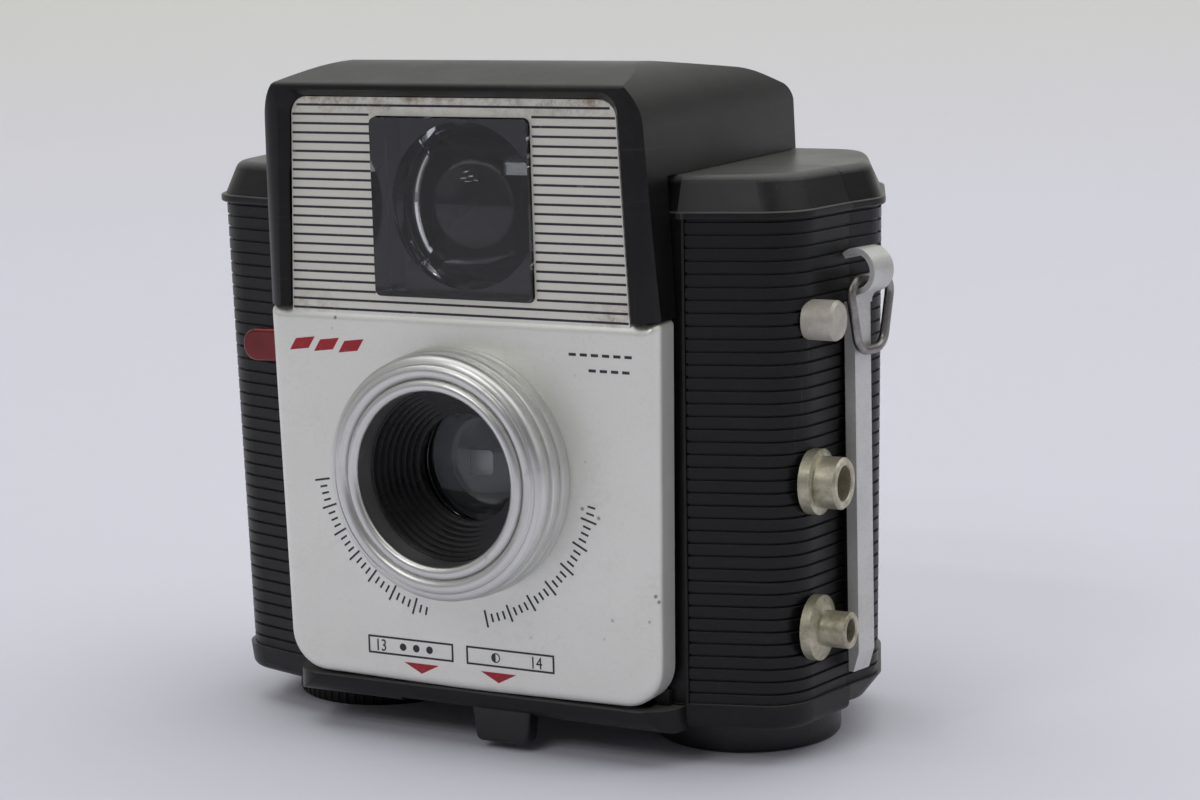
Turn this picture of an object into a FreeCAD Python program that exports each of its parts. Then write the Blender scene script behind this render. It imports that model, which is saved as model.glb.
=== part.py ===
import FreeCAD, Part
import os
from math import atan2, cos, degrees, pi, radians, sin, sqrt, tan

# Eye-level box camera for roll film, built as separate pieces.
# Frame: millimetres, +Z up, the front faces -Y, +X is on the right of someone facing the front.
# The origin is on the table, in the middle of the camera's width and depth. While modelling, X = 0
# is the lens axis and Y = 0 is the face plate's front; save() moves each piece to the origin above.

V = FreeCAD.Vector
ORIGIN = V(0, 0, 0)

# ---- driving dimensions ----
BASE_Z = 5.2            # underside of the body, above the foot and the knob
BAND_TOP_Z = 8.8        # top of the smooth band round the base
CAP_Z = 75.4            # lower rim of the smooth shoulders
DECK_Z = 81.2           # top of the shoulders, where the finder hood sits
HOOD_TOP_Z = 96.1
LENS_Z = 40.4           # height of the lens axis
SEAM_Y = 23.7           # where the front and rear mouldings meet
BACK_Y = 50.5           # rear face of the rear cover
WALL = 2.2              # moulding thickness
INNER_X = 31.3          # where each ribbed panel meets the central block
INNER_Y = 6.5
BEND_X = 46.5           # where the ribbed panel turns into the side wall
BEND_Y = 10.5
BEND_R = 7.0
SEAM_X = 48.7
RIB_COUNT = 38
GROOVE = 0.42           # height of the groove between two ribs
GROOVE_DEPTH = 0.5
RIM_TOP_Z = 76.5        # top of the rim under the shoulders
SHOULDER_LEAN = 1.7     # how far the shoulders lean inwards above the rim
TAPER = 0.0193          # loss of half width for each millimetre down from the shoulders, at BEND_X
SEAM_GAP = 0.1
SKIN = 0.6              # thickness of the pressed face plate
GATE = 41.5             # side of the square film gate
SPOOL_X = 30.6
SPOOL_Y = 26.5
SPOOL_Z = (LENS_Z - 25.0, LENS_Z + 25.0)
SPOOL_R = 10.4
DISC_R = 13.3           # winding knob and foot
RUN = 0.06              # radial running clearance of shafts and pins
WINDOW = 12.6           # half width of the square finder window
WINDOW_Z = (64.2, 89.2)
CONTACT_Y = 15.0
CONTACT_Z = (40.4 - 1.0, 40.4 - 21.3)
STUD_Z = 61.5
WALL_X = 46.6           # outside of the side wall beside the flash contacts
LATCH_TURN = 13.0       # lean of the side walls, in degrees
TRIGGER_PIVOT = (-17.0, 58.0)
TRIGGER_TRAVEL = 9.0
FINGER_X = 3.9          # aperture finger at rest, under the right-hand stop
APERTURE_STEP = 11.2    # travel of the finger to the left-hand stop
EYE_Z = 85.3            # height of the eyepiece
TAIL_R = 1.5            # threaded tails of the flash contacts and the stud
BOSS_X = 38.0           # inner end of the bosses that the contacts are screwed to
FRONT_Y = -7.8          # foremost point, the bezel's rim
REAR_Y = 51.4           # rearmost point, the film window's ring
LEFT_X = -50.96         # leftmost point, the left strip
RIGHT_X = 54.65         # rightmost point, the right strip's curl
SHUTTER_PIVOT = (-13.0, 50.5)
HOOK_Z = (19.0, 36.0, 53.0)
CARRIER_FEET = ((-24.0, 12.9), (24.0, 12.9), (-10.0, 37.5), (10.0, 37.5))


# ---- helpers ----
def box(x0, x1, y0, y1, z0, z1):
    return Part.makeBox(x1 - x0, y1 - y0, z1 - z0, V(x0, y0, z0))


def rod_y(radius, x, z, y0, y1):
    return Part.makeCylinder(radius, y1 - y0, V(x, y0, z), V(0, 1, 0))


def rod_z(radius, x, y, z0, z1):
    return Part.makeCylinder(radius, z1 - z0, V(x, y, z0))


def rod_x(radius, y, z, x0, x1):
    return Part.makeCylinder(radius, x1 - x0, V(x0, y, z), V(1, 0, 0))


def fuse(shapes):
    return shapes[0].multiFuse(shapes[1:]).removeSplitter()


def mirror_x(shape):
    return shape.mirror(ORIGIN, V(1, 0, 0))


def corner(before, point, after, radius):
    """The two tangent points and the middle of the arc that rounds one corner."""
    into = (before - point).normalize()
    out = (after - point).normalize()
    half = into.getAngle(out) / 2
    reach = radius / tan(half)
    centre = point + (into + out).normalize() * (radius / sin(half))
    middle = centre + (point - centre).normalize() * radius
    return point + into * reach, middle, point + out * reach


def outline(points, place):
    """A closed wire through (u, v, radius) points; place turns (u, v) into a vector."""
    spots = [place(u, v) for u, v, radius in points]
    edges = []
    ends = []
    for i, (u, v, radius) in enumerate(points):
        if radius:
            ends.append(corner(spots[i - 1], spots[i], spots[(i + 1) % len(spots)], radius))
        else:
            ends.append((spots[i], None, spots[i]))
    for i, (start, middle, end) in enumerate(ends):
        if middle is not None:
            edges.append(Part.Arc(start, middle, end).toShape())
        following = ends[(i + 1) % len(ends)][0]
        if (following - end).Length > 1e-6:
            edges.append(Part.makeLine(end, following))
    return Part.Wire(edges)


def prism_z(points, z0, z1):
    face = Part.Face(outline(points, lambda u, v: V(u, v, z0)))
    return face.extrude(V(0, 0, z1 - z0))


def prism_y(points, y0, y1):
    face = Part.Face(outline(points, lambda u, v: V(u, y0, v)))
    return face.extrude(V(0, y1 - y0, 0))


def prism_x(points, x0, x1):
    face = Part.Face(outline(points, lambda u, v: V(x0, u, v)))
    return face.extrude(V(x1 - x0, 0, 0))


def turned_y(points, x=0.0, z=LENS_Z):
    """A solid of revolution about a line along Y; points are (radius, y)."""
    vectors = [V(x + r, y, z) for r, y in points]
    face = Part.Face(Part.makePolygon(vectors + vectors[:1]))
    return face.revolve(V(x, 0, z), V(0, 1, 0), 360)


def turned_z(points, x, y):
    vectors = [V(x + r, y, z) for r, z in points]
    face = Part.Face(Part.makePolygon(vectors + vectors[:1]))
    return face.revolve(V(x, y, 0), V(0, 0, 1), 360)


def turned_x(points, y, z):
    vectors = [V(x, y, z + r) for r, x in points]
    face = Part.Face(Part.makePolygon(vectors + vectors[:1]))
    return face.revolve(V(0, y, z), V(1, 0, 0), 360)


def edges_at(shape, test):
    return [edge for edge in shape.Edges if test(edge)]


def soften(shape, radius, test):
    return shape.makeFillet(radius, edges_at(shape, test))


def both_sides(shapes):
    return shapes + [mirror_x(shape) for shape in shapes]


def mirrored_points(half):
    """A closed outline, symmetric about X = 0, from its right half."""
    return half + [(-x, y, r) for x, y, r in reversed(half)]


def save(name, shape):
    placed = shape.copy()
    placed.translate(V(-(LEFT_X + RIGHT_X) / 2, -(FRONT_Y + REAR_Y) / 2, 0))
    placed.exportStep("parts/%s.step" % name)


# ---- outer mouldings ----
def narrow(z):
    """How much narrower the body is at height z than at the shoulders."""
    return 1.0 - TAPER * (CAP_Z - min(z, CAP_Z)) / BEND_X


def front_points(z, grow):
    k = narrow(z)
    seam = SEAM_Y - SEAM_GAP / 2
    return mirrored_points([
        (INNER_X * k - 4.0, INNER_Y - grow, 0),
        (INNER_X * k, INNER_Y - grow, 0),
        (BEND_X * k + grow, BEND_Y - grow * 0.9, BEND_R),
        (SEAM_X * k + grow, seam, 0),
    ])


def rear_points(z, grow):
    k = narrow(z)
    seam = SEAM_Y + SEAM_GAP / 2
    return mirrored_points([
        (SEAM_X * k + grow, seam, 0),
        (50.5 * k + grow, 30.5, 6.0),
        (41.5 * k + grow, BACK_Y + grow, 8.0),
    ])


def on_seam(edge):
    span = edge.BoundBox
    return span.YLength < 0.01 and abs(span.YMin - SEAM_Y) < SEAM_GAP


def shoulders(points):
    """A rim that stands out over the ribs, and smooth shoulders that lean inwards above it."""
    rim = prism_z(points(CAP_Z, 0.6), CAP_Z, RIM_TOP_Z)
    rim = soften(rim, 0.3, lambda e: e.BoundBox.ZLength < 0.01 and not on_seam(e))
    low = outline(points(CAP_Z, 0.1), lambda u, v: V(u, v, RIM_TOP_Z - 0.1))
    high = outline(points(CAP_Z, 0.1 - SHOULDER_LEAN), lambda u, v: V(u, v, DECK_Z))
    top = Part.makeLoft([low, high], True, True)
    top = soften(top, 1.6, lambda e: e.BoundBox.ZMin > DECK_Z - 0.01 and not on_seam(e))
    return [rim, top]


def ribbed_stack(points, base_lean):
    """The base band, leaning inwards below, the ribs with a groove above each, and the shoulders."""
    pitch = (CAP_Z - BAND_TOP_Z) / RIB_COUNT
    low = outline(points(BAND_TOP_Z, 0.5 - base_lean), lambda u, v: V(u, v, BASE_Z))
    high = outline(points(BAND_TOP_Z, 0.5), lambda u, v: V(u, v, BAND_TOP_Z))
    band = Part.makeLoft([low, high], True, True)
    band = soften(band, 1.2, lambda e: e.BoundBox.ZMax < BASE_Z + 0.01 and not on_seam(e))
    slabs = [band] + shoulders(points)
    for i in range(RIB_COUNT):
        z = BAND_TOP_Z + i * pitch
        slabs.append(prism_z(points(z, 0.0), z, z + pitch - GROOVE))
        slabs.append(prism_z(points(z, -GROOVE_DEPTH), z + pitch - GROOVE, z + pitch))
    return slabs


def panel_beads():
    """Smooth upright beads that end the ribs beside the central block."""
    low = INNER_X * narrow(BAND_TOP_Z)
    bead = prism_y([(low - 2.0, BAND_TOP_Z - 0.5, 0), (low + 0.9, BAND_TOP_Z - 0.5, 0),
                    (INNER_X + 0.9, CAP_Z + 0.2, 0), (INNER_X - 2.0, CAP_Z + 0.2, 0)], INNER_Y - 0.3, INNER_Y + 2.0)
    bead = soften(bead, 0.3, lambda e: e.BoundBox.YMax < INNER_Y and e.BoundBox.ZLength > 9.0)
    return both_sides([bead])


def front_block():
    """The raised middle of the front, behind the face plate and the hood's legs."""
    lower = prism_y(plate_points(SKIN + 0.1), 1.9, 12.0)
    pad = prism_y(plate_points(SKIN + 0.9), 0.95, 2.0).common(box(-40.0, 40.0, 0.0, 3.0, 0.0, 61.7))
    filler = box(-29.0, 29.0, 5.1, 12.0, BASE_Z + 1.0, 10.5)
    sill = prism_x([(12.0, BASE_Z, 0), (0.9, BASE_Z, 3.0), (0.9, 8.55, 0.3), (12.0, 8.55, 0)], -31.0, 31.0)
    sill = sill.common(prism_z([(-31.0, 0.9, 5.0), (31.0, 0.9, 5.0), (31.0, 12.0, 0), (-31.0, 12.0, 0)], 5.0, 9.0))
    neck = box(-26.4, 26.4, 1.9, 12.0, 61.0, 62.5)
    upper = box(-26.4, 26.4, 0.95, 12.0, 62.3, DECK_Z)
    return [lower, pad, filler, sill, neck, upper]


def front_cavity():
    """The hollow of the front moulding: the shutter space and the two spool chambers."""
    shutter_space = prism_y([(-26.9, 7.4, 0), (26.9, 7.4, 0), (28.2, 60.4, 0), (-28.2, 60.4, 0)], 2.95, 14.0)
    finder_space = box(-24.6, 24.6, 2.95, 14.0, 60.0, DECK_Z - WALL)
    chambers = prism_z(mirrored_points([
        (28.9, 8.7, 0),
        (42.9, 14.4, 2.0),
        (45.3, SEAM_Y + 1.0, 0),
    ]), 7.4, DECK_Z - WALL)
    return [shutter_space, finder_space, chambers]


def latch_place(shape):
    """Carry a shape from the latch's own frame, X outwards and Y along the wall, to the right side."""
    moved = shape.copy()
    moved.rotate(ORIGIN, V(0, 0, 1), -LATCH_TURN)
    moved.translate(V(SEAM_X, SEAM_Y, 0))
    return moved


def rail(y0, y1, z0, z1):
    return latch_place(box(-2.6, 0.9, y0, y1, z0, z1))


def hooks():
    """Three short hooks of the rear cover, behind the latch's notched leg."""
    return [rail(0.1, 1.15, z, z + 5.0) for z in HOOK_Z]


def front_body():
    body = fuse(ribbed_stack(front_points, 0.3) + panel_beads() + front_block())
    top_tongue = box(-28.4, 28.4, SEAM_Y - 2.0, 43.6, DECK_Z - WALL, DECK_Z)
    base_tongue = prism_z(mirrored_points([(38.0, SEAM_Y - 2.0, 0), (38.0, 41.0, 3.0)]), BASE_Z, 7.4)
    body = body.multiFuse([top_tongue, base_tongue])
    openings = front_cavity()
    openings.append(rod_y(12.66, 0, LENS_Z, 0.0, 4.0))
    openings.append(box(-13.0, 13.0, 0.0, 4.0, 63.8, 89.6))
    openings.append(box(-13.2, 13.2, 2.0, 39.8, 74.0, DECK_Z + 1.0))
    openings.append(box(-12.5, 9.2, 1.8, 6.6, BASE_Z - 1.0, 8.0))
    openings.append(box(-12.5, 9.2, 5.05, 6.6, BASE_Z - 1.0, 12.0))
    openings.append(box(-33.0, -24.0, 3.0, 5.6, 49.6, 58.8))
    openings.append(rod_z(2.4 + RUN, -SPOOL_X, SPOOL_Y, 0.0, 10.0))
    openings.append(rod_z(1.5, SPOOL_X, SPOOL_Y, 0.0, 10.0))
    for z, radius in ((CONTACT_Z[0], 4.6), (CONTACT_Z[1], 4.6), (STUD_Z, 2.85)):
        openings.append(rod_x(radius, CONTACT_Y, z, WALL_X - 0.3, WALL_X + 6.0))
    for x, y in CARRIER_FEET:
        openings.append(rod_z(1.1, x, y, BASE_Z - 1.0, 8.0))
        openings.append(rod_z(2.1, x, y, BASE_Z - 1.0, BASE_Z + 0.9))
    body = body.cut(openings)
    bosses = []
    for z in CONTACT_Z + (STUD_Z,):
        inside = prism_z(front_points(z - 4.0, -GROOVE_DEPTH - 0.2), z - 4.0, z + 4.0)
        bosses.append(rod_x(3.5, CONTACT_Y, z, BOSS_X, WALL_X - 1.0).common(inside))
    body = body.multiFuse(bosses)
    body = body.cut([rod_x(TAIL_R, CONTACT_Y, z, BOSS_X - 1.0, WALL_X + 6.0) for z in CONTACT_Z + (STUD_Z,)])
    rails = both_sides([rail(-1.15, -0.1, 15.0, 61.0)])
    trim = box(-60, 60, SEAM_Y - SEAM_GAP / 2, 60, 7.5, DECK_Z - WALL - 0.1)
    rails = [one.cut(trim) for one in rails]
    return body.multiFuse(rails).removeSplitter()


def rear_cover():
    shell = fuse(ribbed_stack(rear_points, 2.8))
    panel = prism_y([(-25.0, 17.0, 3.0), (25.0, 17.0, 3.0), (25.0, 66.0, 3.0), (-25.0, 66.0, 3.0)],
                    BACK_Y - 1.0, BACK_Y + 0.6)
    shell = shell.fuse(panel)
    cavity = prism_z(mirrored_points([
        (45.3, SEAM_Y - 1.0, 0),
        (46.8, 30.2, 5.0),
        (38.6, BACK_Y - WALL, 6.0),
    ]), 7.4, DECK_Z - WALL)
    cuts = [cavity]
    cuts.append(box(-28.7, 28.7, SEAM_Y - 1.0, 43.9, DECK_Z - WALL - 1.0, DECK_Z + 1.0))
    cuts.append(prism_z(mirrored_points([(38.3, SEAM_Y - 1.0, 0), (38.3, 41.3, 3.0)]), BASE_Z - 1.0, 8.0))
    cuts.append(rod_y(4.0, 0, LENS_Z, BACK_Y - 5.0, BACK_Y + 2.0))
    cuts.append(rod_y(6.0, 0, LENS_Z, BACK_Y - 0.2, BACK_Y + 2.0))
    shell = shell.cut(cuts)
    trim = box(-60, 60, 0, SEAM_Y + SEAM_GAP / 2, 0, 90)
    pieces = [one.cut(trim) for one in both_sides(hooks())]
    return shell.multiFuse(pieces).removeSplitter()


# ---- finder ----
def hood_front(grow, top_z, radius):
    """The hood's outline seen from the front, a little narrower at the top."""
    return [(-31.2 - grow, 60.0, 0), (31.2 + grow, 60.0, 0), (29.6 + grow, top_z, radius),
            (-29.6 - grow, top_z, radius)]


def hood_opening(grow):
    """The opening inside the hood's front rim, which frames the striped panel."""
    return [(-27.2 - grow, 60.0, 0), (27.2 + grow, 60.0, 0), (25.75 + grow, 91.9 + grow, 2.8),
            (-25.75 - grow, 91.9 + grow, 2.8)]


def hood():
    """Finder housing, with two legs that run down beside the striped panel."""
    seat = DECK_Z + 0.1
    side = prism_x([(-1.4, 62.35, 0), (5.8, 62.35, 0), (5.8, seat, 0), (46.9, seat, 0), (46.9, 90.0, 4.0),
                    (36.0, 93.6, 30.0), (11.0, HOOD_TOP_Z + 0.2, 25.0), (-1.4, 93.7, 0.7)], -40.0, 40.0)
    plan = prism_z(mirrored_points([(31.4, -1.4, 4.5), (31.4, 46.9, 2.5)]), 60.0, 100.0)
    shell = side.common(prism_y(hood_front(0.0, HOOD_TOP_Z + 0.05, 8.0), -5.0, 50.0)).common(plan)
    shell = shell.cut(prism_y(hood_opening(0.0), -3.0, 3.0))
    rim = [outline(hood_opening(grow), lambda u, v, y=y: V(u, y, v)) for grow, y in ((1.0, -1.5), (0.0, 0.1))]
    shell = shell.cut(Part.makeLoft(rim, True, True))
    hollow = prism_x([(2.6, 70.0, 0), (44.9, 70.0, 0), (44.9, 88.4, 2.0), (36.0, 91.6, 20.0),
                      (11.0, 94.0, 20.0), (2.6, 92.3, 0)], -28.6, 28.6)
    hollow = hollow.common(prism_y(hood_front(-2.2, 94.2, 4.0), 0.0, 50.0))
    shell = shell.cut(hollow.common(box(-30.0, 30.0, 0.0, 50.0, seat - 1.0, 100.0)))
    shell = shell.cut(box(-26.6, 26.6, 0.0, 7.0, 60.0, seat + 0.2))
    return shell.cut(prism_y(eye_points(0.6), 40.0, 48.0))


def eye_points(grow):
    half_x = 4.3 + grow
    half_z = 2.2 + grow
    return [(-half_x, EYE_Z - half_z, 1.0), (half_x, EYE_Z - half_z, 1.0),
            (half_x, EYE_Z + half_z, 1.0), (-half_x, EYE_Z + half_z, 1.0)]


def finder_front_lens():
    half = WINDOW - 0.15
    block = prism_y([(-half, WINDOW_Z[0] + 0.15, 0.9), (half, WINDOW_Z[0] + 0.15, 0.9),
                     (half, WINDOW_Z[1] - 0.15, 0.9), (-half, WINDOW_Z[1] - 0.15, 0.9)], -0.5, 6.0)
    dish = Part.makeSphere(17.0, V(0, 17.0 + 1.4, (WINDOW_Z[0] + WINDOW_Z[1]) / 2))
    return block.cut(dish)


def finder_tunnel():
    """Thin black light box from behind the front lens to the eyepiece."""
    def ring(half_x, z0, z1, y):
        return outline([(-half_x, z0, 0), (half_x, z0, 0), (half_x, z1, 0), (-half_x, z1, 0)],
                       lambda u, v: V(u, y, v))
    outer = Part.makeLoft([ring(12.9, 63.9, 89.5, 6.1), ring(5.4, 82.3, 88.3, 41.0)], True, True)
    inner = Part.makeLoft([ring(12.3, 64.5, 88.9, 6.0), ring(4.8, 82.9, 87.7, 41.1)], True, True)
    return outer.cut(inner)


def eyepiece_frame():
    sleeve = prism_y(eye_points(0.6), 43.9, 46.9)
    rim = prism_y(eye_points(1.3), 46.9, 47.5)
    return sleeve.fuse(rim).cut(prism_y(eye_points(0.0), 40.0, 48.0))


def eyepiece_lens():
    blank = prism_y(eye_points(0.0), 44.5, 47.5)
    return blank.common(Part.makeSphere(18.0, V(0, 47.1 - 18.0, EYE_Z)))


# ---- front ----
def plate_points(edge):
    return [(-30.0 + edge, 9.1 + edge, 5.8 - edge), (0.0, 8.65 + edge, 300.0), (30.0 - edge, 9.1 + edge, 5.8 - edge),
            (31.1 - edge, 62.2, 0.8), (-31.1 + edge, 62.2, 0.8)]


def face_plate():
    """The pressed lower pan and the flat upper panel round the finder window, in one pressing."""
    pan = prism_y(plate_points(0.0), 0.0, 5.0)
    pan = soften(pan, 1.7, lambda e: e.BoundBox.YMax < 0.01 and e.BoundBox.ZMin < 61.0)
    hollow = prism_y(plate_points(SKIN), SKIN, 6.0)
    hollow = soften(hollow, 1.1, lambda e: e.BoundBox.YMax < SKIN + 0.01 and e.BoundBox.ZMin < 61.0)
    pan = pan.cut(hollow)
    panel = prism_y([(-27.0, 61.2, 0), (27.0, 61.2, 0), (25.6, 91.75, 2.5), (-25.6, 91.75, 2.5)],
                    0.3, 0.3 + SKIN)
    sheet = fuse([pan, panel])
    window = prism_y([(-WINDOW, WINDOW_Z[0], 1.0), (WINDOW, WINDOW_Z[0], 1.0),
                      (WINDOW, WINDOW_Z[1], 1.0), (-WINDOW, WINDOW_Z[1], 1.0)], -1.0, 3.0)
    cuts = [window, rod_y(12.66, 0, LENS_Z, -1.0, 3.0), box(-35.0, -26.0, 2.6, 6.0, 49.2, 59.2)]
    return sheet.cut(cuts)


def lens_bezel():
    """Turned aluminium ring with rounded steps."""
    rings = [((17.3, 0.0), (17.6, -1.1), (17.3, -2.2)), ((16.9, -2.3), (17.5, -3.5), (17.2, -4.6)),
             ((16.8, -4.7), (17.1, -6.4), (16.0, -7.3)), ((15.9, -7.2), (15.0, -7.7), (14.1, -7.2)),
             ((13.9, -6.9), (13.1, FRONT_Y), (12.2, -7.2))]
    edges = []
    for begin, crest, end in rings:
        points = [V(radius, depth, 0) for radius, depth in (begin, crest, end)]
        if edges and (points[0] - last).Length > 0.001:
            edges.append(Part.makeLine(last, points[0]))
        edges.append(Part.Arc(*points).toShape())
        last = points[2]
    path = [last, V(12.05, -3.9, 0), V(11.9, 2.9, 0), V(12.6, 2.9, 0), V(12.6, 0.0, 0), V(17.3, 0.0, 0)]
    for i in range(len(path) - 1):
        edges.append(Part.makeLine(path[i], path[i + 1]))
    face = Part.Face(Part.Wire(Part.__sortEdges__(edges)))
    ring = face.revolve(ORIGIN, V(0, 1, 0), 360)
    ring.translate(V(0, 0, LENS_Z))
    return ring


def lens_baffle():
    """Black stepped cone between the bezel's lip and the lens."""
    count = 7
    step = 0.8
    outer = [(11.85, 2.9), (11.98, -4.0)]
    inner = []
    for i in range(count):
        radius = 11.7 - i * 0.55
        depth = -4.0 + i * step
        inner += [(radius, depth), (radius, depth + step)]
    inner.append((7.7, -4.0 + count * step))
    inner.append((7.7, 2.9))
    return turned_y(outer + inner)


def taking_lens():
    blank = rod_y(8.2, 0, LENS_Z, 2.9, 5.1)
    front_face = Part.makeSphere(22.0, V(0, 22.0 + 2.9, LENS_Z))
    return blank.common(front_face)


def lens_retainer():
    return turned_y([(7.0, 5.2), (11.0, 5.2), (11.0, 2.95), (8.25, 2.95), (8.25, 5.15), (7.0, 5.15)])


# ---- shutter, aperture and release ----
def shutter_plate():
    """Metal plate on three posts, with two rails that guide the aperture blade."""
    plate = prism_y([(-24.0, 13.0, 3.0), (24.0, 13.0, 3.0), (24.0, 60.0, 3.0), (-24.0, 60.0, 3.0)], 6.9, 7.6)
    posts = [rod_y(1.6, x, z, 2.95, 6.9) for x, z in ((-21.5, 16.0), (21.5, 16.0), (21.5, 57.0))]
    rails = [box(-18.0, 18.0, 6.3, 6.9, z, z + 0.9) for z in (31.5, 47.2)]
    return plate.multiFuse(posts + rails).cut([rod_y(3.6, 0, LENS_Z, 6.0, 9.0)])


def pivot(place, radius, y0, y1, head_y):
    x, z = place
    return rod_y(radius, x, z, y0, y1).fuse(rod_y(radius + 0.7, x, z, head_y, head_y + 0.4))


def shutter_disc():
    """Sector blade whose hole crosses the lens half way through its stroke."""
    px, pz = SHUTTER_PIVOT
    reach = sqrt(px * px + (LENS_Z - pz) ** 2)
    aim = degrees(atan2(LENS_Z - pz, -px))
    sector = Part.makeCylinder(reach + 4.5, 0.35, V(px, 8.0, pz), V(0, 1, 0))
    wedge_angle = 70.0
    reach_far = reach + 12.0
    centre_angle = aim + 9.0
    corners = [V(px, 7.0, pz)]
    for turn in (-0.5, 0.0, 0.5):
        angle = radians(centre_angle + turn * wedge_angle)
        corners.append(V(px + reach_far * cos(angle), 7.0, pz + reach_far * sin(angle)))
    wedge = Part.Face(Part.makePolygon(corners + corners[:1])).extrude(V(0, 3, 0))
    hole_angle = radians(aim + 16.0)
    hole = rod_y(3.4, px + reach * cos(hole_angle), pz + reach * sin(hole_angle), 7.5, 9.0)
    hub = rod_y(3.2, px, pz, 8.0, 8.9)
    return sector.common(wedge).fuse(hub).cut([hole, rod_y(1.2 + RUN, px, pz, 7.5, 9.5)])


def aperture_lever():
    """Black moulded finger below the base, with its arm up behind the lens."""
    x = FINGER_X
    finger = prism_y([(x - 4.1, 1.1, 1.0), (x + 4.1, 1.1, 1.0), (x + 4.8, 6.9, 0), (x - 4.8, 6.9, 0)], 2.0, 5.0)
    finger = soften(finger, 0.5, lambda e: e.BoundBox.YLength < 0.01 and e.BoundBox.ZMax < 2.4)
    foot = box(x - 4.8, x + 4.8, 2.0, 6.2, 6.2, 7.6)
    arm = box(x - 3.0, x + 3.0, 5.3, 6.2, 7.0, 34.0)
    return fuse([finger, foot, arm])


def aperture_blade():
    """Thin sliding plate with a large and a small stop, riveted to the lever's arm."""
    plate = prism_y([(-5.5, 32.5, 1.0), (16.7, 32.5, 1.0), (16.7, 47.1, 1.0), (-5.5, 47.1, 1.0)], 6.25, 6.55)
    stops = []
    for x, half in ((0.0, 1.7), (APERTURE_STEP, 1.15)):
        stops.append(prism_y([(x - half, LENS_Z - half, 0.6), (x + half, LENS_Z - half, 0.6),
                              (x + half, LENS_Z + half, 0.6), (x - half, LENS_Z + half, 0.6)], 6.0, 7.0))
    return plate.cut(stops)


def trigger_lever():
    """Red release lever: a rounded finger outside the block and an arm inside it."""
    px, pz = TRIGGER_PIVOT
    finger = prism_y([(-38.3, 53.2, 2.2), (-38.3, 57.9, 2.2), (-24.0, 58.2, 0), (-24.0, 53.6, 0)], 3.5, 5.3)
    finger = soften(finger, 0.5, lambda e: e.BoundBox.YMax < 3.51 and e.BoundBox.XMax < -24.5)
    arm = prism_y([(-24.5, 53.7, 0), (px, pz - 3.0, 0), (px, pz + 1.6, 0), (-24.5, 58.1, 0)], 3.5, 5.3)
    hub = rod_y(3.0, px, pz, 3.5, 5.3)
    lever = fuse([finger, arm, hub])
    return lever.cut(rod_y(1.4 + RUN, px, pz, 3.0, 6.0))


def trigger_spring():
    """Small return coil round the trigger's pivot."""
    helix = Part.makeHelix(0.55, 1.1, 2.1)
    section = Part.Wire([Part.makeCircle(0.2, V(2.1, 0, 0), V(0, 1, 0))])
    spring = Part.Wire(helix.Edges).makePipeShell([section], True, True)
    spring.rotate(ORIGIN, V(1, 0, 0), -90)
    spring.translate(V(TRIGGER_PIVOT[0], 5.55, TRIGGER_PIVOT[1]))
    return spring


# ---- film transport ----
def film_carrier():
    """Light cone, film gate and the two shelves that hold the spools and rollers."""
    def square(half, y):
        return outline([(-half, LENS_Z - half, 0), (half, LENS_Z - half, 0),
                        (half, LENS_Z + half, 0), (-half, LENS_Z + half, 0)], lambda u, v: V(u, y, v))
    gate = GATE / 2
    outer = Part.makeLoft([square(10.0, 10.6), square(gate + 1.2, 44.8)], True, True)
    inner = Part.makeLoft([square(8.8, 10.5), square(gate, 44.9)], True, True)
    shelf = mirrored_points([(14.0, 10.6, 0), (28.0, 10.6, 0), (40.5, 15.5, 3.0), (43.2, 22.0, 3.0),
                             (43.2, 31.0, 4.0), (34.0, 45.2, 3.0)])
    parts = [outer, prism_z(shelf, 12.6, 14.4), prism_z(shelf, 66.4, 68.2)]
    parts.append(box(-14.0, 14.0, 10.6, 11.6, 12.6, 62.5))
    parts.append(box(-24.2, 24.2, 43.4, 44.8, 12.6, 68.2))
    for x in (SPOOL_X, -SPOOL_X):
        parts.append(rod_z(2.4, x, SPOOL_Y, 64.0, 66.5))
    parts.append(rod_z(2.4, SPOOL_X, SPOOL_Y, 14.3, 17.0))
    for x in (26.4, -26.4):
        parts.append(rod_z(0.8, x, 43.2, 14.3, 66.5))
    feet = [rod_z(2.6, x, y, 7.4, 12.7) for x, y in CARRIER_FEET]
    carrier = fuse(parts + feet)
    cuts = [inner, rod_z(2.4 + RUN, -SPOOL_X, SPOOL_Y, 10.0, 15.0)]
    cuts.append(box(-14.0, 14.0, 10.0, 18.0, 62.5, 69.0))
    cuts += [rod_z(1.1, x, y, 7.0, 12.0) for x, y in CARRIER_FEET]
    return carrier.cut(cuts)


def spool(x, keyed):
    """Moulded film spool: two flanges on a hollow core, with a film slot."""
    low, high = SPOOL_Z
    body = turned_z([(2.4 + RUN, low), (SPOOL_R, low), (SPOOL_R, low + 1.1), (3.6, low + 1.1),
                     (3.6, high - 1.1), (SPOOL_R, high - 1.1), (SPOOL_R, high), (2.4 + RUN, high)], x, SPOOL_Y)
    cuts = [box(x - 0.6, x + 0.6, SPOOL_Y - 5.0, SPOOL_Y + 5.0, LENS_Z - 9.0, LENS_Z + 9.0)]
    if keyed:
        cuts.append(box(x - 4.4, x + 4.4, SPOOL_Y - 0.8, SPOOL_Y + 0.8, low - 1.0, low + 2.4))
    return body.cut(cuts)


def roller(x):
    return turned_z([(0.8 + RUN, 14.6), (1.6, 14.6), (1.6, 66.2), (0.8 + RUN, 66.2)], x, 43.2)


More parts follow.
